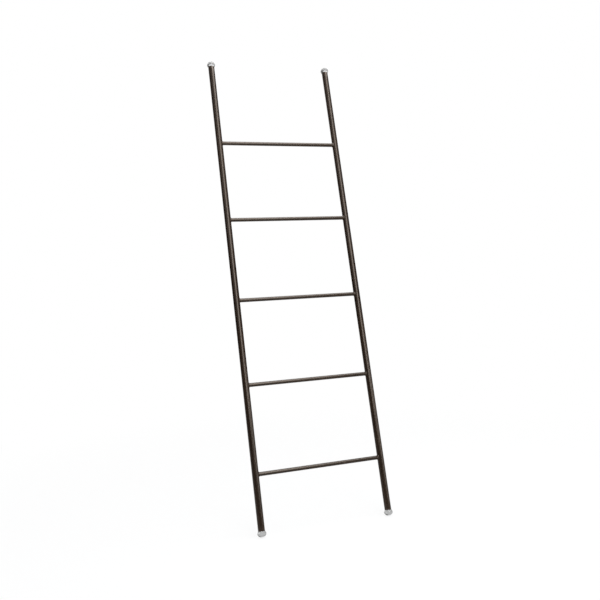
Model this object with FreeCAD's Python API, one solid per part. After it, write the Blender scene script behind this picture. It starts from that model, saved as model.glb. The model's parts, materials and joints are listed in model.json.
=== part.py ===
import FreeCAD, Part
import math
import os

# Towel ladder that leans on a wall: two tube stiles, five welded tube rungs, four clear end caps.
# Millimetres and degrees. +X runs along the rungs, +Y points to the wall and +Z points up.
# The origin is on the floor, midway between the points where the two feet touch it.

# Stiles: round steel tube, cut square at both ends
STILE_OD = 20.0
STILE_WALL = 1.2
STILE_LENGTH = 1465.5
STILE_SPACING = 398.0  # between centre lines

# Rungs: thinner tube, its ends seated in holes pierced through the stiles' inner walls
RUNG_OD = 12.0
RUNG_WALL = 1.0
RUNG_COUNT = 5
FIRST_RUNG_RISE = 157.0  # from the stiles' lower ends to the first rung's centre line
LAST_RUNG_DROP = 270.1  # from the last rung's centre line to the stiles' upper ends
RUNG_SEAT = 5.2  # from the stile's inner side to the rung's end inside it
SEAT_CLEARANCE = 0.1  # between a rung and its hole, all round

# Welds: one fillet bead round each rung end, flat-faced, with equal legs on rung and stile
WELD_LEG = 1.6

# Outer edges of the cut tubes
DEBURR = 0.3

# End caps: a clear dome wider than the tube, on a hollow barbed plug
CAP_OVERHANG = 3.0  # how far the dome stands out from the tube, all round
CAP_FLARE = 7.0  # from the tube's end to the dome's widest ring
CAP_EDGE = 7.5  # radius of the dome's rounded edge above that ring
CAP_CROWN = 3.0  # how far the dome's tip stands above the top of that rounding
PLUG_LENGTH = 18.0
PLUG_CLEARANCE = 0.5  # between the plug's body and the tube's bore
PLUG_WALL = 2.4
PLUG_LEAD = 0.8  # how much the plug's leading end tapers in
BARB_COUNT = 3
BARB_LAND = 1.5  # plain plug between one barb and the next
BARB_CLEARANCE = 0.05  # between a barb's tip and the tube's bore
CORE_REACH = 4.0  # how far the hollow runs on into the dome
CORE_CORNER = 2.0  # rounding at the hollow's closed end

# Stance: the stiles' tilt from upright towards the wall
LEAN = 15.0

STILE_RADIUS = STILE_OD / 2
BORE_RADIUS = STILE_RADIUS - STILE_WALL
RUNG_RADIUS = RUNG_OD / 2
CAP_RADIUS = STILE_RADIUS + CAP_OVERHANG
EDGE_CENTRE = CAP_RADIUS - CAP_EDGE
CAP_TIP = CAP_FLARE + CAP_EDGE + CAP_CROWN
CROWN_RADIUS = EDGE_CENTRE**2 / (2 * CAP_CROWN) + CAP_EDGE + CAP_CROWN / 2
CROWN_CENTRE = CAP_TIP - CROWN_RADIUS
SIDES = {"left": -1, "right": 1}

ORIGIN = FreeCAD.Vector(0, 0, 0)
X_AXIS = FreeCAD.Vector(1, 0, 0)
Y_AXIS = FreeCAD.Vector(0, 1, 0)
Z_AXIS = FreeCAD.Vector(0, 0, 1)
FULL_TURN = 360
HALF_TURN = 180
QUARTER_TURN = 90
ON_SURFACE = 1e-4


def profile_point(radius, height):
    """Point of a turned profile, drawn in the plane x = 0 on the wall side."""
    return FreeCAD.Vector(0, radius, height)


def profile_lines(corners):
    """Straight edges of a turned profile through (radius, height) corners."""
    return Part.makePolygon([profile_point(*corner) for corner in corners]).Edges


def turned(edges):
    """Solid of revolution about Z from the edges of a closed profile."""
    return Part.Face(Part.Wire(edges)).revolve(ORIGIN, Z_AXIS, FULL_TURN)


def tube(outer_radius, wall, length):
    """Tube that stands on the XY plane, with the outer edges of both ends broken."""
    bore = outer_radius - wall
    corners = [
        (bore, 0),
        (outer_radius - DEBURR, 0),
        (outer_radius, DEBURR),
        (outer_radius, length - DEBURR),
        (outer_radius - DEBURR, length),
        (bore, length),
        (bore, 0),
    ]
    return turned(profile_lines(corners))


def rung_rises():
    """Heights of the rungs' centre lines above the stiles' lower ends, evenly spaced."""
    pitch = (STILE_LENGTH - FIRST_RUNG_RISE - LAST_RUNG_DROP) / (RUNG_COUNT - 1)
    return [FIRST_RUNG_RISE + pitch * number for number in range(RUNG_COUNT)]


def stile(side):
    """Upright stile with one hole for each rung through the wall that faces the other stile."""
    body = tube(STILE_RADIUS, STILE_WALL, STILE_LENGTH)
    holes = [
        Part.makeCylinder(
            RUNG_RADIUS + SEAT_CLEARANCE, STILE_OD, FreeCAD.Vector(0, 0, rise), X_AXIS * -side
        )
        for rise in rung_rises()
    ]
    body = body.cut(holes)
    body.translate(X_AXIS * (side * STILE_SPACING / 2))
    return body


def rung(rise):
    """Rung between the stiles, long enough for both ends to pass through the stiles' walls."""
    length = STILE_SPACING - 2 * (STILE_RADIUS - RUNG_SEAT)
    body = tube(RUNG_RADIUS, RUNG_WALL, length)
    body.rotate(ORIGIN, Y_AXIS, QUARTER_TURN)
    body.translate(FreeCAD.Vector(-length / 2, 0, rise))
    return body


def is_saddle(edge):
    """Whether an edge is part of the curve where the rung's surface meets the stile's."""
    middle = edge.valueAt((edge.FirstParameter + edge.LastParameter) / 2)
    off_stile = abs(math.hypot(middle.x, middle.y) - STILE_RADIUS)
    off_rung = abs(math.hypot(middle.y, middle.z) - RUNG_RADIUS)
    return off_stile < ON_SURFACE and off_rung < ON_SURFACE


def weld_bead():
    """Weld round a rung that leaves a stile on the Z axis along +X: the corner's fill alone."""
    half_height = RUNG_OD + WELD_LEG
    stile_bar = Part.makeCylinder(STILE_RADIUS, 2 * half_height, Z_AXIS * -half_height, Z_AXIS)
    rung_bar = Part.makeCylinder(RUNG_RADIUS, STILE_OD + WELD_LEG, ORIGIN, X_AXIS)
    joint = stile_bar.fuse(rung_bar)
    filled = joint.makeChamfer(WELD_LEG, [edge for edge in joint.Edges if is_saddle(edge)])
    return filled.cut([stile_bar, rung_bar]).Solids[0]


def weld(bead, side, rise):
    """The bead, turned to face the other stile and set on its stile at a rung's height."""
    body = bead.copy()
    if side > 0:
        body.rotate(ORIGIN, Z_AXIS, HALF_TURN)
    body.translate(FreeCAD.Vector(side * STILE_SPACING / 2, 0, rise))
    return body


def profile_arc(centre, radius, start, end):
    """Arc of a turned profile between two angles, in radians up from the outward direction."""
    angles = (start, (start + end) / 2, end)
    points = [
        profile_point(centre[0] + radius * math.cos(angle), centre[1] + radius * math.sin(angle))
        for angle in angles
    ]
    return Part.Arc(*points).toShape()


def dome_edges():
    """Outline of the dome from its tip to the tube's edge: crown, rounded edge and flare."""
    upright = math.radians(QUARTER_TURN)
    blend = math.atan2(CAP_FLARE - CROWN_CENTRE, EDGE_CENTRE)
    flare_radius = (CAP_OVERHANG**2 + CAP_FLARE**2) / (2 * CAP_OVERHANG)
    flare_sweep = math.atan2(CAP_FLARE, flare_radius - CAP_OVERHANG)
    return [
        profile_arc((0, CROWN_CENTRE), CROWN_RADIUS, upright, blend),
        profile_arc((EDGE_CENTRE, CAP_FLARE), CAP_EDGE, blend, 0),
        profile_arc((CAP_RADIUS - flare_radius, CAP_FLARE), flare_radius, 0, -flare_sweep),
    ]


def plug_edges():
    """Outline of the plug from the shoulder on the tube's edge, over the barbs, to the hollow's mouth."""
    plug_radius = BORE_RADIUS - PLUG_CLEARANCE
    pitch = PLUG_LENGTH / (BARB_COUNT + 1)
    corners = [(STILE_RADIUS, 0), (plug_radius, 0)]
    for number in range(1, BARB_COUNT + 1):
        step = -pitch * number
        corners.append((plug_radius, step))
        corners.append((BORE_RADIUS - BARB_CLEARANCE, step))
        corners.append((plug_radius, step - pitch + BARB_LAND))
    corners.append((plug_radius - PLUG_LEAD, -PLUG_LENGTH))
    corners.append((plug_radius - PLUG_WALL, -PLUG_LENGTH))
    return profile_lines(corners)


def core_edges():
    """Outline of the hollow from its mouth to its closed end, and on along the axis to the dome's tip."""
    radius = BORE_RADIUS - PLUG_CLEARANCE - PLUG_WALL
    corner_radius = radius - CORE_CORNER
    corner_height = CORE_REACH - CORE_CORNER
    upright = math.radians(QUARTER_TURN)
    return [
        *profile_lines([(radius, -PLUG_LENGTH), (radius, corner_height)]),
        profile_arc((corner_radius, corner_height), CORE_CORNER, 0, upright),
        *profile_lines([(corner_radius, CORE_REACH), (0, CORE_REACH), (0, CAP_TIP)]),
    ]


def end_cap():
    """Cap whose shoulder sits at z = 0 on a tube's end, with its dome above and its plug below."""
    return turned(dome_edges() + plug_edges() + core_edges())


def foot_cap(cap, side):
    """The cap turned over, on a stile's lower end."""
    body = cap.copy()
    body.rotate(ORIGIN, X_AXIS, HALF_TURN)
    body.translate(X_AXIS * (side * STILE_SPACING / 2))
    return body


def wall_cap(cap, side):
    """The cap on a stile's upper end."""
    body = cap.copy()
    body.translate(FreeCAD.Vector(side * STILE_SPACING / 2, 0, STILE_LENGTH))
    return body


def stance():
    """Placement that tips the upright ladder towards the wall and sets its feet's crowns on the floor."""
    lean = math.radians(LEAN)
    shift = FreeCAD.Vector(
        0, CROWN_CENTRE * math.sin(lean), CROWN_CENTRE * math.cos(lean) + CROWN_RADIUS
    )
    return FreeCAD.Placement(shift, FreeCAD.Rotation(X_AXIS, -LEAN))


def ladder():
    """Every piece of the upright ladder, by name."""
    bead = weld_bead()
    cap = end_cap()
    pieces = {}
    for name, side in SIDES.items():
        pieces[f"stile_{name}"] = stile(side)
        pieces[f"foot_cap_{name}"] = foot_cap(cap, side)
        pieces[f"wall_cap_{name}"] = wall_cap(cap, side)
    for number, rise in enumerate(rung_rises(), start=1):
        pieces[f"rung_{number}"] = rung(rise)
        for name, side in SIDES.items():
            pieces[f"weld_{number}_{name}"] = weld(bead, side, rise)
    return pieces


def main():
    """Lean the ladder and write one file for each piece."""
    os.makedirs("parts", exist_ok=True)
    placement = stance()
    for name, shape in ladder().items():
        shape.Placement = placement.multiply(shape.Placement)
        shape.exportStep(f"parts/{name}.step")
        print(f"{name}: {shape.Volume:.1f} mm3, valid {shape.isValid()}")


main()
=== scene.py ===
import json
import logging
import math
from abc import ABC, abstractmethod
from dataclasses import dataclass, field
from enum import Enum
from functools import cache
from typing import Any, Callable, NamedTuple

import bpy
import numpy as np
from mathutils import Matrix, Vector


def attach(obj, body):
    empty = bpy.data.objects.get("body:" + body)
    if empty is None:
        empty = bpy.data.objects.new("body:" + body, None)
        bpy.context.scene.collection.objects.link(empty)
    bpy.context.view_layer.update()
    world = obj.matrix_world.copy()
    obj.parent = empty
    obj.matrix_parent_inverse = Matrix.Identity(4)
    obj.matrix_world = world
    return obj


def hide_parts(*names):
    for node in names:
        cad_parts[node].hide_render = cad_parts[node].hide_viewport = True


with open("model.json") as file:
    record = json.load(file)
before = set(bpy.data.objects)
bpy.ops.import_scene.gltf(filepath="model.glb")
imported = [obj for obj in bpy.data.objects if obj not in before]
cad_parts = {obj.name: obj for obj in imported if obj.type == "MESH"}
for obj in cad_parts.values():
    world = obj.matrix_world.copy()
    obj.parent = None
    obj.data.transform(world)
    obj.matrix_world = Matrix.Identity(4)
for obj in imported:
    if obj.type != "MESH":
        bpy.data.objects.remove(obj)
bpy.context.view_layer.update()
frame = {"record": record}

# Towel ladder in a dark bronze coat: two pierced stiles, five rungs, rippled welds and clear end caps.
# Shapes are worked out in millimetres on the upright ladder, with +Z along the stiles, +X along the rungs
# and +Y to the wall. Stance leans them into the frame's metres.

BODY = "root"
MM = 0.001  # a millimetre in the frame's metres
TURN = 2 * math.pi
CREASE = math.radians(32)  # faces that meet at a larger angle keep a sharp edge
TINY = 1e-6  # slack where two lengths are compared

Array = np.ndarray
Colour = tuple[float, float, float]
Point = tuple[float, float, float]
Socket = bpy.types.NodeSocket

log = logging.getLogger("towel_ladder")


class Side(Enum):
    """Which stile a piece belongs to, by its direction along X."""

    LEFT = -1
    RIGHT = 1

    @property
    def word(self) -> str:
        """The side's word in the names of pieces."""
        return self.name.lower()

    def facing_in(self, points: Array) -> Array:
        """Points of a piece drawn facing +X, turned half round on the right to face the other stile."""
        return points if self is Side.LEFT else points * (-1, -1, 1)

    def on_axis(self, half_spacing: float, height: float = 0.0) -> Point:
        """The point of this side's stile axis at a height."""
        return (self.value * half_spacing, 0.0, height)


class StileEnd(Enum):
    """Which end of a stile a cap closes."""

    FOOT = "foot"
    WALL = "wall"


class Slot(Enum):
    """The record's material slots."""

    BRONZE = "bronze_finish"
    CLEAR = "clear_cap"


# Closed surfaces


@dataclass(frozen=True)
class Stance:
    """The lean of the ladder and the place of its lower tube ends.

    Attributes:
        lean: tilt from upright towards the wall, in radians.
        foot: middle of the line between the stiles' lower ends, in the frame's millimetres.
    """

    lean: float
    foot: Point

    @property
    def climb(self) -> Array:
        """Direction up the stiles in the frame."""
        return np.array((0, math.sin(self.lean), math.cos(self.lean)))

    def place(self, points: Array) -> Array:
        """Lean upright points into the frame.

        Each point turns about X by the lean, moves to the foot and goes from millimetres to metres.

        Args:
            points: (n, 3) places on the upright ladder.

        Returns:
            (n, 3) places in the frame.
        """
        across, deep, high = points.T
        sine, cosine = math.sin(self.lean), math.cos(self.lean)
        leaned = np.stack([across, deep * cosine + high * sine, high * cosine - deep * sine], axis=1)
        return (leaned + self.foot) * MM

    def rise(self, place: Array) -> float:
        """How far up the slope a place in the frame's millimetres lies, from the stiles' lower ends."""
        return float((place - self.foot) @ self.climb)


@dataclass
class Surface:
    """A surface in millimetres with what its finish reads at each point.

    Attributes:
        points: (n, 3) places.
        faces: point numbers of the quads (m, 4) and, where there are poles, of the triangles (k, 3).
        grain: (n, 3) places in the piece's own axes, with the third along the tube.
        wear: (n,) how much each point is rubbed in use, from 0 to 1.
    """

    points: Array
    faces: list[Array]
    grain: Array
    wear: Array

    def volume(self) -> float:
        """Add up a . (b x c) / 6 over the triangles of every face.

        Returns:
            The enclosed volume, above 0 where the faces point outwards.
        """
        total = 0.0
        for faces in self.faces:
            corners = self.points[faces]
            for second in range(1, faces.shape[1] - 1):
                normal = np.cross(corners[:, second], corners[:, second + 1])
                total += float((corners[:, 0] * normal).sum()) / 6
        return total

    def to_object(
        self, name: str, place: Callable[[Array], Array], material: bpy.types.Material
    ) -> bpy.types.Object:
        """Put the surface into a new mesh object, with its faces outwards.

        Args:
            name: name of the object and its mesh.
            place: turns the surface's points into the frame's metres.
            material: the finish.

        Returns:
            The object, at the origin with its place in its mesh.
        """
        order = 1 if self.volume() > 0 else -1
        faces = [corners for array in self.faces for corners in array[:, ::order].tolist()]
        mesh = bpy.data.meshes.new(name)
        mesh.from_pydata(place(self.points).tolist(), [], faces)
        grain = mesh.attributes.new("grain", "FLOAT_VECTOR", "POINT")
        grain.data.foreach_set("vector", (self.grain * MM).ravel())
        wear = mesh.attributes.new("wear", "FLOAT", "POINT")
        wear.data.foreach_set("value", self.wear)
        mesh.shade_smooth()
        mesh.set_sharp_from_angle(angle=CREASE)
        mesh.materials.append(material)
        piece = bpy.data.objects.new(name, mesh)
        bpy.context.scene.collection.objects.link(piece)
        return piece


def grid_quads(rows: int, columns: int, closed: bool) -> Array:
    """Number the corners of a grid's quads, where the columns wrap round.

    Args:
        rows: rings of points.
        columns: points in a ring.
        closed: whether the last ring joins the first.

    Returns:
        (rows or rows - 1, columns, 4) point numbers.
    """
    row = np.arange(rows if closed else rows - 1)[:, None]
    column = np.arange(columns)[None, :]
    up = (row + 1) % rows
    on = (column + 1) % columns
    corners = [row * columns + column, row * columns + on, up * columns + on, up * columns + column]
    return np.stack(corners, axis=-1)


def has_poles(profile: Array) -> bool:
    """Whether a profile begins and ends on the axis."""
    return bool((profile[[0, -1], 0] < TINY).all())


def turned(profile: Array, columns: int) -> tuple[Array, list[Array]]:
    """Turn a profile about Z: radius r and height h become (r cos a, r sin a, h) over a full turn of a.

    A profile that begins and ends on the axis closes in two poles, each one point with a fan of
    triangles. Any other profile is a closed loop.

    Args:
        profile: (n, 2) radii and heights.
        columns: points round the turn.

    Returns:
        Points and faces. The poles are the last two points.
    """
    angle = np.arange(columns) * (TURN / columns)
    poles = has_poles(profile)
    rings = profile[1:-1] if poles else profile
    radius, height = rings[:, :1], rings[:, 1:]
    grid = [radius * np.cos(angle), radius * np.sin(angle), np.repeat(height, columns, 1)]
    points = np.stack(grid, axis=-1).reshape(-1, 3)
    quads = grid_quads(len(rings), columns, not poles).reshape(-1, 4)
    if not poles:
        return points, [quads]
    first = np.arange(columns)
    last = first + len(points) - columns
    low = np.full(columns, len(points))
    fans = np.concatenate([
        np.stack([low, np.roll(first, -1), first], axis=1),
        np.stack([low + 1, last, np.roll(last, -1)], axis=1),
    ])
    tips = np.column_stack([np.zeros((2, 2)), profile[[0, -1], 1]])
    return np.concatenate([points, tips]), [quads, fans]


def per_point(values: Array, profile: Array, columns: int) -> Array:
    """Spread one value for each profile point over the points that turned() makes from that profile.

    Args:
        values: (n,) values.
        profile: (n, 2) radii and heights.
        columns: points round the turn.

    Returns:
        One value for each turned point.
    """
    if has_poles(profile):
        return np.concatenate([np.repeat(values[1:-1], columns), values[[0, -1]]])
    return np.repeat(values, columns)


def arc(centre: tuple[float, float], radius: float, start: float, end: float, steps: int) -> Array:
    """Points of a profile's arc: centre plus radius times (cos a, sin a), with a from start to end.

    Args:
        centre: radius and height of the arc's centre.
        radius: the arc's own radius.
        start: first angle in radians, up from the outward direction.
        end: last angle.
        steps: stretches between points.

    Returns:
        (steps + 1, 2) radii and heights.
    """
    angle = np.linspace(start, end, steps + 1)
    return np.stack([centre[0] + radius * np.cos(angle), centre[1] + radius * np.sin(angle)], axis=1)


# Shader node groups

FLOAT = "NodeSocketFloat"
VECTOR = "NodeSocketVector"
COLOUR = "NodeSocketColor"

# Detail of the groups' noise, and the low and high values that their masks are eased between
LUMP_DETAIL = 1.0
SMALL_LUMPS = 4.3  # how much finer the small lumps are than the large ones
SMALL_HEIGHT = 0.3  # how high they stand, as a share of the large ones
CLOUD_DETAIL = 4.0
CLOUD_RANGE = (0.3, 0.7)
STREAK_DETAIL = 3.0
STREAK_RANGE = (0.42, 0.72)
BREAK_DETAIL = 5.0
BREAK_SHARE = 0.9  # how much the breaks add to the wear and take from it, from lowest to highest
WEAR_RANGE = (0.4, 0.85)
PATCH_DETAIL = 6.0
PATCH_RANGE = (0.35, 0.75)
DUST_SLOPE = (0.35, 1.0)  # upward part of a normal that holds no dust, and of one that holds it all


class NodeSheet:
    """A node tree with short calls that add a node and fill its inputs.

    The MIX numbers are those of a Mix node's sockets for colours.
    """

    MIX_FACTOR = 0
    MIX_LOW = 6
    MIX_HIGH = 7
    MIX_RESULT = 2

    def __init__(self, tree: bpy.types.NodeTree) -> None:
        """Take a tree and empty it."""
        self.tree = tree
        tree.nodes.clear()

    def add(
        self, kind: str, inputs: dict[str | int, Any] | None = None, **settings: Any
    ) -> bpy.types.Node:
        """Add a node.

        Args:
            kind: the node's type.
            inputs: values or sockets for its inputs, by name or number.
            settings: values for its own properties.

        Returns:
            The new node.
        """
        node = self.tree.nodes.new(kind)
        for name, value in settings.items():
            setattr(node, name, value)
        for key, value in (inputs or {}).items():
            if isinstance(value, Socket):
                self.tree.links.new(value, node.inputs[key])
            else:
                node.inputs[key].default_value = value
        return node

    def group(self, tree: bpy.types.NodeTree, inputs: dict[str, Any]) -> bpy.types.Node:
        """Place a shared node group and fill its named inputs."""
        return self.add("ShaderNodeGroup", inputs, node_tree=tree)

    def math(self, operation: str, *values: Any) -> Socket:
        """Result of one sum on values or sockets."""
        return self.add("ShaderNodeMath", dict(enumerate(values)), operation=operation).outputs[0]

    def mix(self, factor: Any, low: Any, high: Any) -> Socket:
        """Colour that goes from low to high as the factor goes from 0 to 1."""
        inputs = {self.MIX_FACTOR: factor, self.MIX_LOW: self.paint(low), self.MIX_HIGH: self.paint(high)}
        return self.add("ShaderNodeMix", inputs, data_type="RGBA").outputs[self.MIX_RESULT]

    def cover(self, under: Any, colour: Colour, mask: Socket, share: float) -> Socket:
        """Colour laid over what is under it, by a share of a mask."""
        return self.mix(self.math("MULTIPLY", mask, share), under, colour)

    def ramp(self, value: Any, low: float, high: float, start: float = 0.0, end: float = 1.0) -> Socket:
        """Value eased from start to end as it goes from low to high, and held beyond them."""
        inputs = {"Value": value, "From Min": low, "From Max": high, "To Min": start, "To Max": end}
        return self.add("ShaderNodeMapRange", inputs, interpolation_type="SMOOTHSTEP").outputs[0]

    def noise(self, vector: Any, scale: Any, detail: float) -> Socket:
        """Soft noise from 0 to 1 at so many lumps to the metre."""
        inputs = {"Vector": vector, "Scale": scale, "Detail": detail}
        return self.add("ShaderNodeTexNoise", inputs).outputs[0]

    @staticmethod
    def paint(colour: Any) -> Any:
        """A plain colour with its alpha, or a socket as it is."""
        return (*colour, 1.0) if isinstance(colour, tuple) else colour


def new_group(name: str, inputs: dict[str, str], outputs: dict[str, str]) -> tuple[NodeSheet, Any, Any]:
    """Start a shader node group.

    Args:
        name: the group's name.
        inputs: socket types by name.
        outputs: socket types by name.

    Returns:
        The group's sheet, what it is given and the sockets for its results.
    """
    tree = bpy.data.node_groups.new(name, "ShaderNodeTree")
    for socket, kind in inputs.items():
        tree.interface.new_socket(socket, in_out="INPUT", socket_type=kind)
    for socket, kind in outputs.items():
        tree.interface.new_socket(socket, in_out="OUTPUT", socket_type=kind)
    sheet = NodeSheet(tree)
    return sheet, sheet.add("NodeGroupInput").outputs, sheet.add("NodeGroupOutput").inputs


@cache
def skin_texture() -> bpy.types.NodeTree:
    """Make the group for the fine relief of a baked or moulded skin, and for its flakes.

    The height is soft noise plus a share of finer noise. The flakes are cells, each with a random value.

    Returns:
        The group's tree.
    """
    inputs = {"Grain": VECTOR, "Lumps": FLOAT, "Flakes": FLOAT}
    sheet, given, result = new_group("skin_texture", inputs, {"Height": FLOAT, "Flake": FLOAT})
    coarse = sheet.noise(given["Grain"], given["Lumps"], LUMP_DETAIL)
    fine = sheet.noise(given["Grain"], sheet.math("MULTIPLY", given["Lumps"], SMALL_LUMPS), LUMP_DETAIL)
    height = sheet.math("MULTIPLY_ADD", fine, SMALL_HEIGHT, coarse)
    cells = sheet.add("ShaderNodeTexVoronoi", {"Vector": given["Grain"], "Scale": given["Flakes"]})
    flake = sheet.add("ShaderNodeSeparateColor", {"Color": cells.outputs["Color"]})
    sheet.tree.links.new(height, result["Height"])
    sheet.tree.links.new(flake.outputs[0], result["Flake"])
    return sheet.tree


@cache
def tone_drift() -> bpy.types.NodeTree:
    """Make the group for a colour that drifts in clouds of soft noise between two close tones.

    Returns:
        The group's tree.
    """
    inputs = {"Position": VECTOR, "Clouds": FLOAT, "Low": COLOUR, "High": COLOUR}
    sheet, given, result = new_group("tone_drift", inputs, {"Colour": COLOUR})
    cloud = sheet.ramp(sheet.noise(given["Position"], given["Clouds"], CLOUD_DETAIL), *CLOUD_RANGE)
    sheet.tree.links.new(sheet.mix(cloud, given["Low"], given["High"]), result["Colour"])
    return sheet.tree


@cache
def rubbed_streaks() -> bpy.types.NodeTree:
    """Make the group for the long streaks that a wiping cloth leaves.

    They are noise that is fine across the piece and drawn out along it.

    Returns:
        The group's tree.
    """
    inputs = {"Grain": VECTOR, "Across": FLOAT, "Along": FLOAT}
    sheet, given, result = new_group("rubbed_streaks", inputs, {"Streak": FLOAT})
    across, along = given["Across"], given["Along"]
    stretch = sheet.add("ShaderNodeCombineXYZ", {"X": across, "Y": across, "Z": along}).outputs[0]
    drawn = sheet.add("ShaderNodeVectorMath", {0: given["Grain"], 1: stretch}, operation="MULTIPLY")
    streak = sheet.ramp(sheet.noise(drawn.outputs[0], 1.0, STREAK_DETAIL), *STREAK_RANGE)
    sheet.tree.links.new(streak, result["Streak"])
    return sheet.tree


@cache
def rubbed_wear() -> bpy.types.NodeTree:
    """Make the group for the mask of worn spots: the piece's own wear, broken up by noise.

    Returns:
        The group's tree.
    """
    inputs = {"Wear": FLOAT, "Grain": VECTOR, "Breaks": FLOAT}
    sheet, given, result = new_group("rubbed_wear", inputs, {"Mask": FLOAT})
    breaks = sheet.noise(given["Grain"], given["Breaks"], BREAK_DETAIL)
    lowest = sheet.math("SUBTRACT", given["Wear"], BREAK_SHARE / 2)
    worn = sheet.math("MULTIPLY_ADD", breaks, BREAK_SHARE, lowest)
    sheet.tree.links.new(sheet.ramp(worn, *WEAR_RANGE), result["Mask"])
    return sheet.tree


@cache
def settled_dust() -> bpy.types.NodeTree:
    """Make the group for the mask of dust: patches of noise on what faces up.

    Returns:
        The group's tree.
    """
    inputs = {"Normal": VECTOR, "Position": VECTOR, "Patches": FLOAT}
    sheet, given, result = new_group("settled_dust", inputs, {"Mask": FLOAT})
    up = sheet.add("ShaderNodeSeparateXYZ", {"Vector": given["Normal"]}).outputs["Z"]
    patches = sheet.ramp(sheet.noise(given["Position"], given["Patches"], PATCH_DETAIL), *PATCH_RANGE)
    sheet.tree.links.new(sheet.math("MULTIPLY", sheet.ramp(up, *DUST_SLOPE), patches), result["Mask"])
    return sheet.tree


# Finishes


@dataclass(frozen=True)
class Finish(ABC):
    """A material and the values that its nodes take.

    Attributes:
        name: the material's name.
    """

    name: str

    @abstractmethod
    def dress(self, sheet: NodeSheet) -> Socket:
        """Add the finish's nodes and return the shader's socket."""

    @cache
    def material(self) -> bpy.types.Material:
        """Make the material, once.

        Returns:
            The material.
        """
        material = bpy.data.materials.new(self.name)
        material.use_nodes = True
        sheet = NodeSheet(material.node_tree)
        sheet.add("ShaderNodeOutputMaterial", {"Surface": self.dress(sheet)})
        return material


class Weathering(NamedTuple):
    """Sockets that a worn finish gets from the shared groups.

    Attributes:
        grain: place in the piece's own axes.
        tone: the drifting colour.
        worn: mask of the worn spots.
        dust: mask of the dust.
        flake: random value of each flake.
        normal: the skin's bumped normal.
    """

    grain: Socket
    tone: Socket
    worn: Socket
    dust: Socket
    flake: Socket
    normal: Socket


@dataclass(frozen=True)
class WornFinish(Finish):
    """A finish in drifting tones, with a textured skin, worn spots and dust.

    Attributes:
        low: the darker of its two tones.
        high: the paler one.
        dust: colour of the dust.
        clouds: clouds of tone to the metre.
        lumps: lumps in the skin to the metre.
        flakes: flakes in the skin to the metre.
        relief: strength of the lumps' relief.
        relief_depth: its depth, in metres.
        breaks: breaks in the worn spots to the metre.
        patches: patches of dust to the metre.
        dust_share: how much of the dust shows.
        roughness: roughness of the clean skin.
    """

    low: Colour
    high: Colour
    dust: Colour
    clouds: float
    lumps: float
    flakes: float
    relief: float
    relief_depth: float
    breaks: float
    patches: float
    dust_share: float
    roughness: float

    def weather(self, sheet: NodeSheet) -> Weathering:
        """Place the shared groups in the material, with this finish's values.

        Args:
            sheet: the material's nodes.

        Returns:
            What the groups give.
        """
        position = sheet.add("ShaderNodeTexCoord").outputs["Object"]
        grain = sheet.add("ShaderNodeAttribute", attribute_name="grain").outputs["Vector"]
        wear = sheet.add("ShaderNodeAttribute", attribute_name="wear").outputs["Fac"]
        normal = sheet.add("ShaderNodeNewGeometry").outputs["Normal"]
        tones = {"Low": sheet.paint(self.low), "High": sheet.paint(self.high)}
        tone = sheet.group(tone_drift(), {"Position": position, "Clouds": self.clouds, **tones})
        worn = sheet.group(rubbed_wear(), {"Wear": wear, "Grain": grain, "Breaks": self.breaks})
        spots = {"Normal": normal, "Position": position, "Patches": self.patches}
        dust = sheet.group(settled_dust(), spots)
        skin = sheet.group(skin_texture(), {"Grain": grain, "Lumps": self.lumps, "Flakes": self.flakes})
        height = skin.outputs["Height"]
        relief = {"Height": height, "Strength": self.relief, "Distance": self.relief_depth}
        bump = sheet.add("ShaderNodeBump", relief)
        return Weathering(
            grain=grain,
            tone=tone.outputs["Colour"],
            worn=worn.outputs["Mask"],
            dust=dust.outputs["Mask"],
            flake=skin.outputs["Flake"],
            normal=bump.outputs["Normal"],
        )


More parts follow.
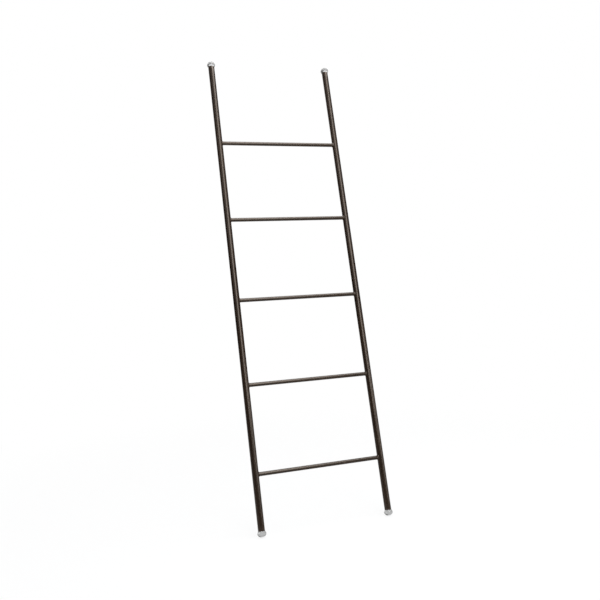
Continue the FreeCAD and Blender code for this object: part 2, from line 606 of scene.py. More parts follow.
@dataclass(frozen=True)
class BronzeCoat(WornFinish):
    """Baked dark bronze coat on steel: clouded brown with rubbed streaks, orange peel and fine flake.

    Attributes:
        rubbed: colour of the streaks.
        worn: colour of the worn spots.
        sheen: tint of the shine.
        across: streaks to the metre across the piece.
        along: streaks to the metre along it.
        streak_share: how much of the streaks' colour shows.
        wear_share: how much of the worn spots' colour shows.
        flake_gloss: how much rougher the dullest flake is.
        streak_gloss: how much smoother a streak is.
        dust_dull: how much rougher dust is.
        metallic: share of metal.
        specular: strength of the shine.
    """

    low: Colour = (0.0170, 0.0089, 0.0047)
    high: Colour = (0.0255, 0.0140, 0.0076)
    dust: Colour = (0.20, 0.19, 0.18)
    clouds: float = 11.0
    lumps: float = 520.0
    flakes: float = 5200.0
    relief: float = 0.18
    relief_depth: float = 0.00006
    breaks: float = 420.0
    patches: float = 60.0
    dust_share: float = 0.05
    roughness: float = 0.23
    rubbed: Colour = (0.0380, 0.0223, 0.0135)
    worn: Colour = (0.100, 0.0550, 0.0300)
    sheen: Colour = (1.0, 0.90, 0.80)
    across: float = 900.0
    along: float = 9.0
    streak_share: float = 0.25
    wear_share: float = 0.25
    flake_gloss: float = 0.05
    streak_gloss: float = 0.06
    dust_dull: float = 0.5
    metallic: float = 0.15
    specular: float = 0.8

    def dress(self, sheet: NodeSheet) -> Socket:
        """Add the coat's nodes.

        Args:
            sheet: the material's nodes.

        Returns:
            The shader's socket.
        """
        skin = self.weather(sheet)
        lengths = {"Grain": skin.grain, "Across": self.across, "Along": self.along}
        streak = sheet.group(rubbed_streaks(), lengths).outputs["Streak"]
        streaked = sheet.cover(skin.tone, self.rubbed, streak, self.streak_share)
        scuffed = sheet.cover(streaked, self.worn, skin.worn, self.wear_share)
        dusty = sheet.cover(scuffed, self.dust, skin.dust, self.dust_share)
        flaked = sheet.math("MULTIPLY_ADD", skin.flake, self.flake_gloss, self.roughness)
        wiped = sheet.math("MULTIPLY_ADD", streak, -self.streak_gloss, flaked)
        dulled = sheet.math("MULTIPLY_ADD", skin.dust, self.dust_dull * self.dust_share, wiped)
        return sheet.add("ShaderNodeBsdfPrincipled", {
            "Base Color": dusty,
            "Roughness": dulled,
            "Normal": skin.normal,
            "Metallic": self.metallic,
            "Specular IOR Level": self.specular,
            "Specular Tint": sheet.paint(self.sheen),
        }).outputs["BSDF"]


@dataclass(frozen=True)
class ClearMoulding(WornFinish):
    """Clear moulded plastic: faint clouds in the melt, a soft ripple in the skin and a scuffed tip.

    Attributes:
        scuff_dull: how much rougher a scuff is.
        ior: how strongly it bends light.
        transmission: share of the light that goes through.
    """

    low: Colour = (0.84, 0.85, 0.86)
    high: Colour = (0.92, 0.93, 0.94)
    dust: Colour = (0.70, 0.69, 0.68)
    clouds: float = 140.0
    lumps: float = 260.0
    flakes: float = 3000.0
    relief: float = 0.3
    relief_depth: float = 0.00005
    breaks: float = 900.0
    patches: float = 120.0
    dust_share: float = 0.08
    roughness: float = 0.05
    scuff_dull: float = 0.28
    ior: float = 1.49
    transmission: float = 1.0

    def dress(self, sheet: NodeSheet) -> Socket:
        """Add the plastic's nodes.

        Args:
            sheet: the material's nodes.

        Returns:
            The shader's socket.
        """
        skin = self.weather(sheet)
        return sheet.add("ShaderNodeBsdfPrincipled", {
            "Base Color": sheet.cover(skin.tone, self.dust, skin.dust, self.dust_share),
            "Roughness": sheet.math("MULTIPLY_ADD", skin.worn, self.scuff_dull, self.roughness),
            "Normal": skin.normal,
            "IOR": self.ior,
            "Transmission Weight": self.transmission,
        }).outputs["BSDF"]


@dataclass(frozen=True)
class StagePaint(Finish):
    """White stage paint, with painted reflections and painted shade beside the backdrop for what metal
    and plastic show of it.

    What is seen is the paint's own white. Near the ladder's feet a part of it is the light that falls
    there, so that the floor keeps the ladder's shadow. In metal and through plastic the backdrop is as
    white. The rest is painted for metal and plastic alone. In metal the wall is a painted dark reflection
    that darkens the tubes' edges, paler with height in front of the ladder, over a painted floor
    reflection. Through plastic the floor is painted a pale tone, and the wall gets darker with height:
    painted shade that darkens the caps' rims. Distances are in metres.

    Attributes:
        white: the paint as it is seen, and the backdrop.
        lit: the paint under the lamps.
        flag: painted dark reflection of the wall in metal, at eye level.
        haze: painted pale reflection of the wall in metal, high up in front.
        painted_floor_reflection: painted reflection of the floor in metal.
        veil: the floor as seen through plastic, painted a pale tone.
        shade: painted shade of the upper wall, as seen through plastic.
        backdrop_edge: how far back the wall starts to turn white.
        backdrop: how far back it is white.
        backdrop_foot: height where its white starts.
        backdrop_full: height where it is all white.
        flag_top: height where the painted floor reflection has given way to the painted wall reflection.
        haze_foot: height where the painted pale reflection starts.
        haze_top: height where the painted pale reflection is full.
        haze_front: how far back the painted pale reflection is still full.
        haze_back: how far back the painted pale reflection has gone.
        veil_top: height where the painted floor tone through plastic starts to get darker.
        shade_foot: height where it has given way to the shade.
        floor_near: distance from the feet where the floor's share of own white starts to rise.
        floor_far: distance where it is all its own white.
        floor_share: share of own white at the feet.
    """

    white: Colour = (1.0, 1.0, 1.0)
    lit: Colour = (0.95, 0.95, 0.95)
    # Painted reflections and painted shade: colours that only metal and plastic show of the stage
    flag: Colour = (0.03, 0.03, 0.03)
    haze: Colour = (0.75, 0.75, 0.77)
    painted_floor_reflection: Colour = (0.36, 0.36, 0.36)
    veil: Colour = (0.50, 0.495, 0.485)
    shade: Colour = (0.13, 0.128, 0.123)
    backdrop_edge: float = 5.2
    backdrop: float = 6.6
    backdrop_foot: float = 0.6
    backdrop_full: float = 2.4
    flag_top: float = 0.4
    haze_foot: float = 2.4
    haze_top: float = 5.5
    haze_front: float = -3.0
    haze_back: float = 0.0
    veil_top: float = 0.05
    shade_foot: float = 1.2
    floor_near: float = 0.7
    floor_far: float = 1.8
    floor_share: float = 0.9

    def dress(self, sheet: NodeSheet) -> Socket:
        """Add the paint's nodes.

        Args:
            sheet: the material's nodes.

        Returns:
            The shader's socket.
        """
        position = sheet.add("ShaderNodeTexCoord").outputs["Object"]
        place = sheet.add("ShaderNodeSeparateXYZ", {"Vector": position}).outputs
        reach = sheet.add("ShaderNodeVectorMath", {0: position}, operation="LENGTH").outputs["Value"]
        path = sheet.add("ShaderNodeLightPath").outputs
        camera, metal, plastic = (path[f"Is {kind} Ray"] for kind in ("Camera", "Glossy", "Transmission"))
        # Painted reflections in metal: a dark wall, paler high up in front of the ladder, over a painted
        # floor reflection
        high = sheet.ramp(place["Z"], self.haze_foot, self.haze_top)
        ahead = sheet.ramp(place["Y"], self.haze_front, self.haze_back, 1.0, 0.0)
        wall = sheet.mix(sheet.math("MULTIPLY", high, ahead), self.flag, self.haze)
        painted_reflection_in_metal = sheet.mix(sheet.ramp(place["Z"], 0.0, self.flag_top), self.painted_floor_reflection, wall)
        # Painted shade through plastic: a pale floor, and a wall painted darker with height
        shaded = sheet.ramp(place["Z"], self.veil_top, self.shade_foot)
        painted_surround = sheet.mix(plastic, painted_reflection_in_metal, sheet.mix(shaded, self.veil, self.shade))
        behind = sheet.ramp(place["Y"], self.backdrop_edge, self.backdrop)
        above = sheet.ramp(place["Z"], self.backdrop_foot, self.backdrop_full)
        bare = sheet.math("MAXIMUM", camera, sheet.math("MULTIPLY", behind, above))
        own = sheet.add("ShaderNodeEmission", {"Color": sheet.mix(bare, painted_surround, self.white)})
        lit = sheet.add("ShaderNodeBsdfDiffuse", {"Color": sheet.paint(self.lit)})
        seen = sheet.math("MAXIMUM", camera, sheet.math("MAXIMUM", metal, plastic))
        away = sheet.ramp(reach, self.floor_near, self.floor_far, self.floor_share)
        share = sheet.math("MULTIPLY", seen, away)
        paint = {0: share, 1: lit.outputs[0], 2: own.outputs[0]}
        return sheet.add("ShaderNodeMixShader", paint).outputs[0]


# The ladder's pieces


@dataclass(frozen=True)
class LadderPiece(ABC):
    """A piece that is meshed, dressed and set on the frame in place of its CAD node.

    Attributes:
        node: name of the CAD node.
        finish: what it is dressed in.
        slot: the record's slot for it.
        form: last word of its object's name.
    """

    node: str
    finish: Finish
    slot: Slot = field(init=False, default=Slot.BRONZE)
    form: str = field(init=False, default="piece")

    @abstractmethod
    def surface(self) -> Surface:
        """The piece's closed surface on the upright ladder."""

    def build(self, stance: Stance) -> bpy.types.Object:
        """Make the piece's object, which rides on the frame and stands for its node.

        Args:
            stance: leans the piece into the frame.

        Returns:
            The new object.
        """
        piece = self.surface().to_object(f"{self.node}_{self.form}", stance.place, self.finish.material())
        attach(piece, BODY)
        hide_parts(self.node)
        return piece


@dataclass(frozen=True)
class Tube:
    """Sizes of a round steel tube, cut square, with its outer rims rounded over, and its points.

    Attributes:
        radius: outer radius.
        wall: thickness of the wall.
        length: from cut to cut.
        rim: radius of the rounding on the outer rims.
        wear_reach: how far from a cut the coat is rubbed.
        rim_steps: stretches of that rounding.
        row_step: about how far apart the rings of points are.
        columns: points in a ring.
    """

    radius: float
    wall: float
    length: float
    rim: float = 0.4
    wear_reach: float = 1.0
    rim_steps: int = 4
    row_step: float = 24.0
    columns: int = 96

    @property
    def bore(self) -> float:
        """Radius of the bore."""
        return self.radius - self.wall

    def heights(self) -> Array:
        """Heights of the rings of points, evenly spaced from the lower rim to the upper one."""
        return np.linspace(self.rim, self.length - self.rim, math.ceil(self.length / self.row_step))

    def profile(self, heights: Array) -> Array:
        """Outline the cut wall: up the outside, over the rim's quarter circle, down the bore and back.

        Args:
            heights: where the outside and the bore have points.

        Returns:
            (n, 2) radii and heights of the closed outline.
        """
        centre = (self.radius - self.rim, self.length - self.rim)
        upper = arc(centre, self.rim, 0, TURN / 4, self.rim_steps)[1:]
        lower = upper[::-1] * (1, -1) + (0, self.length)
        outside = np.column_stack([np.full_like(heights, self.radius), heights])
        inside = np.column_stack([np.full_like(heights, self.bore), heights[::-1]])
        upper_cut, lower_cut = [(self.bore, self.length)], [(self.bore, 0)]
        return np.concatenate([outside, upper, upper_cut, inside, lower_cut, lower])

    def rim_wear(self, profile: Array) -> Array:
        """Wear of the profile's points: exp(-distance / reach) from the cuts, and none in the bore."""
        distance = np.minimum(profile[:, 1], self.length - profile[:, 1])
        return np.where(profile[:, 0] > self.bore + TINY, np.exp(-distance / self.wear_reach), 0)

    def surface(self) -> Surface:
        """Turn the profile about Z.

        Returns:
            The tube, standing on its lower cut.
        """
        profile = self.profile(self.heights())
        points, faces = turned(profile, self.columns)
        return Surface(points, faces, points, per_point(self.rim_wear(profile), profile, self.columns))


@dataclass(frozen=True)
class PiercedTube(Tube):
    """A tube with round holes through the wall that faces +X.

    Attributes:
        rises: heights of the holes' centres.
        hole: radius of the holes.
        patch_reach: half the height of the patch of wall that is remeshed round a hole.
        patch_columns: half its width in columns.
        patch_rows: its rows.
        collars: rings of quads between the patch's edge and the hole.
    """

    rises: tuple[float, ...] = ()
    hole: float = 0.0
    patch_reach: float = 11.0
    patch_columns: int = 18
    patch_rows: int = 36
    collars: int = 5

    def heights(self) -> Array:
        """Space the rings of points evenly away from the holes, and closely beside each hole.

        Returns:
            Their heights, from the lowest up.
        """
        even = super().heights()
        rises = np.array(self.rises)
        away = np.abs(even[:, None] - rises).min(axis=1) > self.patch_reach
        close = rises[:, None] + np.linspace(-self.patch_reach, self.patch_reach, self.patch_rows + 1)
        return np.sort(np.concatenate([even[away], close.ravel()]))

    def bore_rows(self, rows: Array, heights: Array) -> Array:
        """The profile's points in the bore that lie behind rows of the outside."""
        return 2 * len(heights) + self.rim_steps - rows

    def patch_edge(self, first: int) -> tuple[Array, Array]:
        """Go round the points at the edge of a patch, anticlockwise as seen from outside.

        Args:
            first: the patch's lowest row.

        Returns:
            Row numbers and column numbers, which count from the middle of the patch.
        """
        side, top = self.patch_columns, first + self.patch_rows
        over = np.arange(-side, side)
        up = np.arange(first, top)
        rows = [np.full(2 * side, first), up, np.full(2 * side, top), up[::-1] + 1]
        columns = [over, np.full(self.patch_rows, side), -over, np.full(self.patch_rows, -side)]
        return np.concatenate(rows), np.concatenate(columns)

    def collar_points(self, radius: float, angle: Array, height: Array, rise: float) -> Array:
        """Lay rings of points from a patch's edge to the rim of its hole, on the wall of one radius.

        Unrolled, the edge is the loop (angle, height), and the hole's rim is the curve
        (asin(hole cos a / radius), rise + hole sin a), where a is the direction of the edge's point from
        the hole's centre. The rings lie on the straight lines between them.

        Args:
            radius: radius of the wall's outside or bore.
            angle: where the edge's points are round the tube.
            height: where they are along it.
            rise: height of the hole's centre.

        Returns:
            (collars, n, 3) points, the last ring on the hole's rim.
        """
        way = np.arctan2((height - rise) / self.patch_reach, angle / np.abs(angle).max())
        share = np.arange(1, self.collars + 1)[:, None] / self.collars
        turn = angle + share * (np.arcsin(self.hole * np.cos(way) / radius) - angle)
        level = height + share * (rise + self.hole * np.sin(way) - height)
        return np.stack([radius * np.cos(turn), radius * np.sin(turn), level], axis=-1)

    def pierce(self, rise: float, first: int, heights: Array, start: int) -> tuple[Array, list[Array]]:
        """Make the wall round one hole: a collar outside, a collar in the bore and the hole's own wall.

        Args:
            rise: height of the hole's centre.
            first: lowest row of the patch that is replaced.
            heights: heights of the rows.
            start: number of the first new point.

        Returns:
            The new points, and arrays of quads.
        """
        rows, columns = self.patch_edge(first)
        angle = columns * (TURN / self.columns)
        points, quads, rims = [], [], []
        walls = ((self.radius, rows, 1), (self.bore, self.bore_rows(rows, heights), -1))
        for radius, ring, order in walls:
            collar = self.collar_points(radius, angle, heights[rows], rise)
            numbers = start + np.arange(collar[..., 0].size).reshape(collar.shape[:2])
            loops = np.concatenate([[ring * self.columns + columns % self.columns], numbers])
            corners = [loops[:-1], np.roll(loops[:-1], -1, 1), np.roll(loops[1:], -1, 1), loops[1:]]
            quads.append(np.stack(corners, axis=-1).reshape(-1, 4)[:, ::order])
            points.append(collar.reshape(-1, 3))
            rims.append(numbers[-1])
            start += numbers.size
        outer, inner = rims
        quads.append(np.stack([outer, np.roll(outer, -1), np.roll(inner, -1), inner], axis=-1))
        return np.concatenate(points), quads

    def surface(self) -> Surface:
        """Turn the wall about Z, cut out the patches and put the pierced wall in their place.

        Returns:
            The tube, standing on its lower cut.
        """
        heights = self.heights()
        profile = self.profile(heights)
        points, _ = turned(profile, self.columns)
        wear = per_point(self.rim_wear(profile), profile, self.columns)
        cells = grid_quads(len(profile), self.columns, True)
        kept = np.ones(cells.shape[:2], bool)
        middle = np.arange(-self.patch_columns, self.patch_columns) % self.columns
        faces = []
        for rise in self.rises:
            first = int(np.searchsorted(heights, rise - self.patch_reach - TINY))
            rows = np.arange(first, first + self.patch_rows)
            kept[np.ix_(rows, middle)] = False
            kept[np.ix_(self.bore_rows(rows, heights) - 1, middle)] = False
            added, quads = self.pierce(rise, first, heights, len(points))
            points = np.concatenate([points, added])
            faces += quads
        every = np.concatenate([cells[kept], *faces])
        used, corners = np.unique(every, return_inverse=True)
        wear = np.concatenate([wear, np.zeros(len(points) - len(wear))])
        return Surface(points[used], [corners.reshape(every.shape)], points[used], wear[used])


@dataclass(frozen=True)
class Stile(LadderPiece):
    """One of the two uprights.

    Attributes:
        side: which one.
        tube: its tube, with the holes facing +X.
        half_spacing: from the ladder's middle to its axis.
    """

    side: Side
    tube: PiercedTube
    half_spacing: float
    form: str = field(init=False, default="tube")

    def surface(self) -> Surface:
        """Turn the pierced tube so that its holes face the other stile, and set it at its side.

        Returns:
            The stile.
        """
        surface = self.tube.surface()
        surface.points = self.side.facing_in(surface.points) + self.side.on_axis(self.half_spacing)
        return surface


@dataclass(frozen=True)
class Rung(LadderPiece):
    """One of the bars between the stiles.

    Attributes:
        tube: its tube.
        rise: its height on the upright ladder.
    """

    tube: Tube
    rise: float
    form: str = field(init=False, default="tube")

    def surface(self) -> Surface:
        """Lay the tube along X, midway between the stiles, at its height.

        Returns:
            The rung.
        """
        surface = self.tube.surface()
        across, deep, along = surface.points.T
        surface.points = np.column_stack([along - self.tube.length / 2, deep, self.rise - across])
        return surface


@dataclass(frozen=True)
class WeldBead(LadderPiece):
    """The weld round a rung's end, laid in one run that laps over its own start.

    Attributes:
        side: the stile that it lies on.
        rise: height of its rung on the upright ladder.
        half_spacing: from the ladder's middle to the stile's axis.
        stile_radius: outer radius of the stile.
        rung_radius: outer radius of the rung.
        start: direction round the rung, in radians, where the run starts and stops.
        leg: how far the bead reaches along the rung and along the stile.
        crown: how far it bulges from the straight line between its toes.
        ripple: height of the ripples on it.
        pitch: spacing of the ripples round the rung.
        bend: how far, in radians of a ripple, its ends trail behind its middle.
        lap: extra size where the run laps over its start.
        lap_width: half-width of that lap, in radians.
        waver: unsteadiness of the hand that laid it, as a share of the leg.
        slow_waves: how often the hand wavers slowly round the rung.
        quick_waves: how often it wavers quickly.
        quick_share: size of the quick waves, as a share of the slow ones.
        sink: how far the toes are sunk in the tubes.
        rub: how rubbed the crests of the ripples are.
        steps: points from toe to toe.
        columns: points round the rung.
    """

    side: Side
    rise: float
    half_spacing: float
    stile_radius: float
    rung_radius: float
    start: float
    leg: float = 1.6
    crown: float = 0.22
    ripple: float = 0.16
    pitch: float = 1.35
    bend: float = 2.2
    lap: float = 0.28
    lap_width: float = 0.32
    waver: float = 0.05
    slow_waves: int = 2
    quick_waves: int = 5
    quick_share: float = 0.6
    sink: float = 0.05
    rub: float = 0.75
    steps: int = 14
    columns: int = 336
    form: str = field(init=False, default="bead")

    def spread(self, around: Array) -> Array:
        """Work out the bead's size round the rung: slow and quick waves, and a swell where the run laps.

        The waves are sines of the direction, and the swell is exp(-(distance / width)^2) from the start.

        Args:
            around: (n,) directions round the rung, in radians.

        Returns:
            (n,) sizes as shares of the leg.
        """
        away = np.angle(np.exp(1j * (around - self.start)))
        slow = np.sin(self.slow_waves * around + self.start)
        quick = np.sin(self.quick_waves * around - 2 * self.start)
        swell = np.exp(-((away / self.lap_width) ** 2))
        return 1 + self.waver * (slow + self.quick_share * quick) + self.lap * swell

    def toes(self, around: Array, leg: Array) -> tuple[Array, Array, Array]:
        """Find the corner of rung and stile, and the toes of the bead on each of them.

        The corner is the curve (sqrt(R^2 - (r sin a)^2), r sin a, r cos a). One toe lies a leg further
        along the rung. The other lies a leg away from the corner on the unrolled stile, square to the
        curve. Both are sunk a little in their tubes.

        Args:
            around: (n,) directions round the rung, in radians.
            leg: (n,) the bead's legs there.

        Returns:
            (n, 3) points of the corner, of the rung's toe and of the stile's toe.
        """
        deep, high = self.rung_radius * np.sin(around), self.rung_radius * np.cos(around)
        turn = np.arcsin(deep / self.stile_radius)
        corner = np.stack([self.stile_radius * np.cos(turn), deep, high], axis=-1)
        inset = 1 - self.sink / self.rung_radius
        rung_toe = np.stack([corner[:, 0] + leg, deep * inset, high * inset], axis=-1)
        over, up = high / np.cos(turn), -deep
        length = np.hypot(over, up)
        turn = turn - leg * up / length / self.stile_radius
        high = high + leg * over / length
        radius = self.stile_radius - self.sink
        stile_toe = np.stack([radius * np.cos(turn), radius * np.sin(turn), high], axis=-1)
        return corner, rung_toe, stile_toe

    def surface(self) -> Surface:
        """Draw the bead on a stile along Z, with the rung leaving along +X, and set it on its own stile.

        The skin is the straight line between the toes, raised away from the corner by the sine of a half
        turn times crown and ripples. The corner itself closes the section.

        Returns:
            The bead.
        """
        around = np.arange(self.columns) * (TURN / self.columns)
        size = self.spread(around)
        corner, rung_toe, stile_toe = self.toes(around, self.leg * size)
        outward = (rung_toe + stile_toe) / 2 - corner
        outward /= np.linalg.norm(outward, axis=1, keepdims=True)
        share = np.linspace(0, 1, self.steps)[:, None]
        count = round(TURN * self.rung_radius / self.pitch)
        crest = 0.5 + 0.5 * np.cos(count * around + self.bend * (2 * share - 1) ** 2)
        arch = np.sin(math.pi * share)
        lift = arch * (self.crown * size + self.ripple * crest)
        skin = rung_toe + share[..., None] * (stile_toe - rung_toe) + lift[..., None] * outward
        points = np.concatenate([skin, corner[None]]).reshape(-1, 3)
        wear = np.concatenate([self.rub * arch * crest, np.zeros((1, self.columns))]).ravel()
        faces = [grid_quads(self.steps + 1, self.columns, True).reshape(-1, 4)]
        place = self.side.on_axis(self.half_spacing, self.rise)
        return Surface(self.side.facing_in(points) + place, faces, points, wear)


@dataclass(frozen=True)
class CapShape:
    """Outline of a moulded cap: a dome above the tube's end at height 0, on a hollow plug with barbs.

    Attributes:
        tube_radius: outer radius of the tube that it closes.
        bore: radius of that tube's bore.
        overhang: how far the dome stands out from the tube.
        flare: from the tube's end to the dome's widest ring.
        edge: radius of the dome's rounded edge above that ring.
        crown: how far the tip stands above the top of that rounding.
        plug_length: from the tube's end to the plug's end.
        plug_clearance: air between the plug's body and the bore.
        plug_wall: thickness of the plug's wall.
        plug_lead: how far the plug's end tapers in.
        barbs: how many barbs it has.
        barb_land: plain plug between one barb and the next.
        barb_clearance: air between a barb's tip and the bore.
        core_reach: how far the hollow runs on into the dome.
        core_corner: rounding at the hollow's closed end.
        gap: air between the shoulder and the tube's cut.
        gate: radius of the dimple where the melt came in, at the tip.
        gate_bevel: width of the dimple's sloping side.
        gate_depth: its depth.
        parting: half-width of the fine groove where the mould parted, at the widest ring.
        parting_depth: its depth.
        scuff: how scuffed the tip is.
        arc_steps: stretches of each arc.
    """

    tube_radius: float
    bore: float
    overhang: float = 3.0
    flare: float = 7.0
    edge: float = 7.5
    crown: float = 3.0
    plug_length: float = 18.0
    plug_clearance: float = 0.5
    plug_wall: float = 2.4
    plug_lead: float = 0.8
    barbs: int = 3
    barb_land: float = 1.5
    barb_clearance: float = 0.05
    core_reach: float = 4.0
    core_corner: float = 2.0
    gap: float = 0.03
    gate: float = 1.4
    gate_bevel: float = 0.25
    gate_depth: float = 0.2
    parting: float = 0.14
    parting_depth: float = 0.08
    scuff: float = 0.8
    arc_steps: int = 22

    @property
    def radius(self) -> float:
        """The dome's widest radius."""
        return self.tube_radius + self.overhang

    @property
    def crown_radius(self) -> float:
        """Radius of the sphere that tops the dome and meets its rounded edge smoothly."""
        return (self.radius - self.edge) ** 2 / (2 * self.crown) + self.edge + self.crown / 2

    @property
    def crown_centre(self) -> float:
        """Height of that sphere's centre above the tube's end."""
        return self.flare + self.edge + self.crown - self.crown_radius

    def dome(self) -> Array:
        """Outline the dome: gate dimple, crown arc, edge arc, parting groove and flare arc to the tube.

        Returns:
            (n, 2) radii and heights.
        """
        edge_centre = self.radius - self.edge
        blend = math.atan2(self.flare - self.crown_centre, edge_centre)
        top = math.acos(self.gate / self.crown_radius)
        floor = self.crown_centre + self.crown_radius * math.sin(top) - self.gate_depth
        flare_radius = (self.overhang**2 + self.flare**2) / (2 * self.overhang)
        sweep = math.atan2(self.flare, flare_radius - self.overhang)
        dimple = [(0, floor), (self.gate - self.gate_bevel, floor)]
        groove = [(self.radius - self.parting_depth, self.flare)]
        crown = arc((0, self.crown_centre), self.crown_radius, top, blend, self.arc_steps)
        edge = arc((edge_centre, self.flare), self.edge, blend, self.parting / self.edge, self.arc_steps)
        skirt_centre = (self.radius - flare_radius, self.flare)
        skirt = arc(skirt_centre, flare_radius, -self.parting / flare_radius, -sweep, self.arc_steps)
        outline = np.concatenate([dimple, crown, edge[1:], groove, skirt])
        outline[:, 1] = np.maximum(outline[:, 1], self.gap)
        return outline

    def plug(self) -> Array:
        """Outline the plug: along the shoulder, over each barb and round the tapered end into the hollow.

        Returns:
            (n, 2) radii and heights.
        """
        radius = self.bore - self.plug_clearance
        pitch = self.plug_length / (self.barbs + 1)
        step = -pitch * np.arange(1, self.barbs + 1)
        tip = np.full_like(step, self.bore - self.barb_clearance)
        root = np.full_like(step, radius)
        barb = np.stack([root, step, tip, step, root, step - pitch + self.barb_land], axis=1)
        end = -self.plug_length
        mouth = [(radius - self.plug_lead, end), (radius - self.plug_wall, end)]
        return np.concatenate([[(radius, self.gap)], barb.reshape(-1, 2), mouth])

    def hollow(self) -> Array:
        """Outline the hollow: up its wall, round its corner and along its flat end to the axis.

        Returns:
            (n, 2) radii and heights.
        """
        radius = self.bore - self.plug_clearance - self.plug_wall
        centre = (radius - self.core_corner, self.core_reach - self.core_corner)
        corner = arc(centre, self.core_corner, 0, TURN / 4, self.arc_steps // 2)
        return np.concatenate([corner, [(0, self.core_reach)]])

    def outline(self) -> tuple[Array, Array]:
        """Join dome, plug and hollow, with scuffs that grow evenly from the widest ring to the tip.

        Returns:
            (n, 2) radii and heights, and (n,) scuffs.
        """
        dome = self.dome()
        inside = np.concatenate([self.plug(), self.hollow()])
        scuffs = self.scuff * np.clip((dome[:, 1] - self.flare) / (self.edge + self.crown), 0, 1)
        return np.concatenate([dome, inside]), np.concatenate([scuffs, np.zeros(len(inside))])


@dataclass(frozen=True)
class EndCap(LadderPiece):
    """A clear cap, pressed into a stile's end.

    Attributes:
        side: the stile that it closes.
        end: which end of it.
        shape: the cap's outline.
        stile_length: from cut to cut.
        half_spacing: from the ladder's middle to the stile's axis.
        columns: points round the cap.
    """

    side: Side
    end: StileEnd
    shape: CapShape
    stile_length: float
    half_spacing: float
    columns: int = 96
    slot: Slot = field(init=False, default=Slot.CLEAR)
    form: str = field(init=False, default="moulding")

    def surface(self) -> Surface:
        """Turn the outline about the stile's axis, upside down on a lower end, at its stile's end.

        Returns:
            The cap.
        """
        outline, scuffs = self.shape.outline()
        points, faces = turned(outline, self.columns)
        foot = self.end is StileEnd.FOOT
        flip, level = ((1, -1, -1), 0.0) if foot else ((1, 1, 1), self.stile_length)
        place = self.side.on_axis(self.half_spacing, level)
        return Surface(points * flip + place, faces, points, per_point(scuffs, outline, self.columns))


@dataclass(frozen=True)
class TowelLadder:
    """The whole ladder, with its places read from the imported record's mounts.

    Attributes:
        record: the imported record.
        stile_radius: outer radius of the stiles.
        stile_wall: thickness of their wall.
        rung_wall: thickness of the rungs' wall.
        rung_seat: how far a rung reaches through its stile's inner side.
        seat_clearance: air between a rung and its hole.
    """

    record: dict[str, Any]
    stile_radius: float = 10.0
    stile_wall: float = 1.2
    rung_wall: float = 1.0
    rung_seat: float = 5.2
    seat_clearance: float = 0.1

    GOLDEN_ANGLE = TURN * (2 - (1 + math.sqrt(5)) / 2)
    COAT = BronzeCoat("bronze_coat_on_tube")
    WELD_COAT = BronzeCoat("bronze_coat_on_weld", across=500.0, along=300.0, lumps=900.0, roughness=0.38)
    PLASTIC = ClearMoulding("clear_cap_plastic")

    def mount(self, name: str) -> Array:
        """Place of one of the record's mounts, in millimetres."""
        found = next(mount for mount in self.record["mounts"] if mount["name"] == name)
        return np.array(found["pos_m"]) / MM

    def bars(self) -> list[dict[str, Any]]:
        """The record's mounts for towels, one on each rung, from the lowest up."""
        return [mount for mount in self.record["mounts"] if mount["name"].startswith("towel_bar_")]

    def stance(self, cap: CapShape) -> Stance:
        """Lean the ladder along its rungs' middles and stand the crowns of its foot caps on the floor.

        Args:
            cap: the caps' shape.

        Returns:
            The stance.
        """
        climb = self.mount(self.bars()[-1]["name"]) - self.mount(self.bars()[0]["name"])
        lean = math.atan2(climb[1], climb[2])
        height = cap.crown_centre * math.cos(lean) + cap.crown_radius
        return Stance(lean, (0.0, cap.crown_centre * math.sin(lean), height))

    def pieces(self) -> tuple[Stance, list[LadderPiece]]:
        """Work out every piece.

        Returns:
            The stance and the pieces: stiles with their caps, then rungs with their welds.
        """
        half = float(self.mount("foot_right")[0])
        cap = CapShape(self.stile_radius, self.stile_radius - self.stile_wall)
        stance = self.stance(cap)
        length = stance.rise(self.mount("wall_contact")) - cap.flare - cap.edge * math.sin(stance.lean)
        rung_radius = self.bars()[0]["dims"]["r_mm"]
        rises = tuple(stance.rise(self.mount(bar["name"])) for bar in self.bars())
        hole = rung_radius + self.seat_clearance
        stile = PiercedTube(self.stile_radius, self.stile_wall, length, rises=rises, hole=hole)
        rung = Tube(rung_radius, self.rung_wall, 2 * (half - self.stile_radius + self.rung_seat))
        made: list[LadderPiece] = []
        for side in Side:
            made.append(Stile(f"stile_{side.word}", self.COAT, side, stile, half))
            for end in StileEnd:
                sizes = (side, end, cap, length, half)
                made.append(EndCap(f"{end.value}_cap_{side.word}", self.PLASTIC, *sizes))
        for number, rise in enumerate(rises, start=1):
            made.append(Rung(f"rung_{number}", self.COAT, rung, rise))
            for side in Side:
                start = self.GOLDEN_ANGLE * (2 * number + side.value)
                sizes = (side, rise, half, self.stile_radius, rung_radius, start)
                made.append(WeldBead(f"weld_{number}_{side.word}", self.WELD_COAT, *sizes))
        return stance, made


# The studio


@dataclass(frozen=True)
class SoftBox:
    """A soft rectangular lamp.

    Attributes:
        name: the lamp's name.
        place: where it hangs, in metres.
        aim: the point that it faces.
        width: its width.
        height: its height.
        level: how bright its face is, where 1 is a lit white card.
    """

    name: str
    place: Point
    aim: Point
    width: float
    height: float
    level: float

    def build(self) -> None:
        """Hang the lamp, facing its aim, with its power in step with its level and its face."""
        lamp = bpy.data.lights.new(self.name, "AREA")
        lamp.shape = "RECTANGLE"
        lamp.size, lamp.size_y = self.width, self.height
        lamp.energy = self.level * math.pi * self.width * self.height
        box = bpy.data.objects.new(self.name, lamp)
        box.location = self.place
        box.rotation_euler = (Vector(self.aim) - Vector(self.place)).to_track_quat("-Z", "Y").to_euler()
        box.visible_camera = False
        bpy.context.scene.collection.objects.link(box)


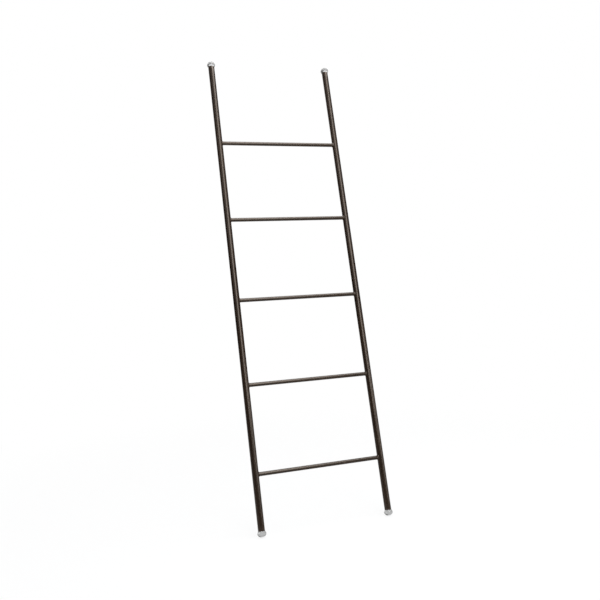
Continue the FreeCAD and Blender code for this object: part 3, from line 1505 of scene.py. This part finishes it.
@dataclass(frozen=True)
class Viewpoint:
    """The photograph's viewpoint, from a fit of the ladder's joints and tube ends.

    Attributes:
        place: the lens, in metres.
        yaw: turn of the view from +Y towards +X, in degrees.
        pitch: tilt of the view below level.
        roll: turn of the picture about the view.
        focal_pixels: focal length in pixels of a picture that is picture_pixels wide.
        picture_pixels: that picture's width.
        sensor: width of the camera's sensor, in millimetres.
    """

    place: Point = (-0.6659, -1.8402, 0.7608)
    yaw: float = 18.407
    pitch: float = 2.687
    roll: float = -2.498
    focal_pixels: float = 675.6
    picture_pixels: float = 600.0
    sensor: float = 36.0

    def build(self) -> None:
        """Make the camera and look through it: yaw, then pitch, then roll about the view."""
        yaw, pitch, roll = (math.radians(angle) for angle in (self.yaw, self.pitch, self.roll))
        level = Vector((math.cos(yaw), -math.sin(yaw), 0))
        forward = Vector((math.sin(yaw), math.cos(yaw), 0))
        ahead = Vector((forward.x * math.cos(pitch), forward.y * math.cos(pitch), -math.sin(pitch)))
        upright = level.cross(ahead)
        right = level * math.cos(roll) + upright * math.sin(roll)
        up = upright * math.cos(roll) - level * math.sin(roll)
        lens = bpy.data.cameras.new("viewpoint")
        lens.sensor_width = self.sensor
        lens.lens = self.focal_pixels * self.sensor / self.picture_pixels
        camera = bpy.data.objects.new("viewpoint", lens)
        turn = Matrix((right, up, -ahead)).transposed().to_4x4()
        camera.matrix_world = Matrix.Translation(self.place) @ turn
        bpy.context.scene.collection.objects.link(camera)
        bpy.context.scene.camera = camera


@dataclass(frozen=True)
class Studio:
    """A round white stage that curves up into its wall, soft lamps and the viewpoint.

    Attributes:
        radius: the stage's radius, in millimetres.
        cove: radius of the curve from floor to wall.
        height: height of the wall.
        drop: air under the feet.
        cove_steps: stretches of the curve.
        columns: points round the stage.
        sky: colour of the light from all round.
        sky_level: its strength.
        paint: the stage's paint.
        lamps: the lamps.
        viewpoint: the photograph's viewpoint.
    """

    radius: float = 7000.0
    cove: float = 1500.0
    height: float = 6000.0
    drop: float = 0.05
    cove_steps: int = 24
    columns: int = 128
    sky: Colour = (0.86, 0.93, 1.0)
    sky_level: float = 0.3
    paint: StagePaint = StagePaint("stage_paint")
    lamps: tuple[SoftBox, ...] = (
        SoftBox("overhead", (0.45, 0.0, 3.2), (0.1, 0.2, 0.7), width=1.8, height=2.6, level=4.8),
        SoftBox("front_right", (0.25, -2.0, 2.1), (0.0, 0.2, 0.7), width=1.2, height=2.4, level=3.7),
        SoftBox("right_low", (1.9, -1.5, 0.75), (0.0, 0.2, 0.3), width=1.4, height=0.9, level=2.2),
    )
    viewpoint: Viewpoint = Viewpoint()

    def stage(self) -> bpy.types.Object:
        """Turn a flat floor, a quarter-circle cove and an upright wall about Z, open at the top.

        Returns:
            The stage's object.
        """
        cove = arc((self.radius - self.cove, self.cove), self.cove, -TURN / 4, 0, self.cove_steps)
        profile = np.concatenate([[(0, 0)], cove, [(self.radius, self.height), (0, self.height)]])
        profile[:, 1] -= self.drop
        points, (quads, fans) = turned(profile, self.columns)
        floor = fans[: self.columns]
        surface = Surface(points, [quads, floor], points, np.zeros(len(points)))
        return surface.to_object("stage", lambda places: places * MM, self.paint.material())

    def build(self) -> None:
        """Set up the stage, the lamps, the sky, the picture's tones and the viewpoint."""
        self.stage()
        for lamp in self.lamps:
            lamp.build()
        world = bpy.data.worlds.new("studio_sky")
        world.use_nodes = True
        sheet = NodeSheet(world.node_tree)
        light = {"Color": sheet.paint(self.sky), "Strength": self.sky_level}
        sky = sheet.add("ShaderNodeBackground", light)
        sheet.add("ShaderNodeOutputWorld", {"Surface": sky.outputs[0]})
        bpy.context.scene.world = world
        bpy.context.scene.view_settings.view_transform = "Standard"
        self.viewpoint.build()


def main() -> None:
    """Build the ladder piece by piece, then the studio round it."""
    logging.basicConfig(level=logging.INFO, format="%(name)s: %(message)s")
    stance, pieces = TowelLadder(frame["record"]).pieces()
    for piece in pieces:
        made = piece.build(stance)
        log.info("%s stands for %s, with %d faces", made.name, piece.node, len(made.data.polygons))
    Studio().build()


if __name__ == "__main__":
    main()
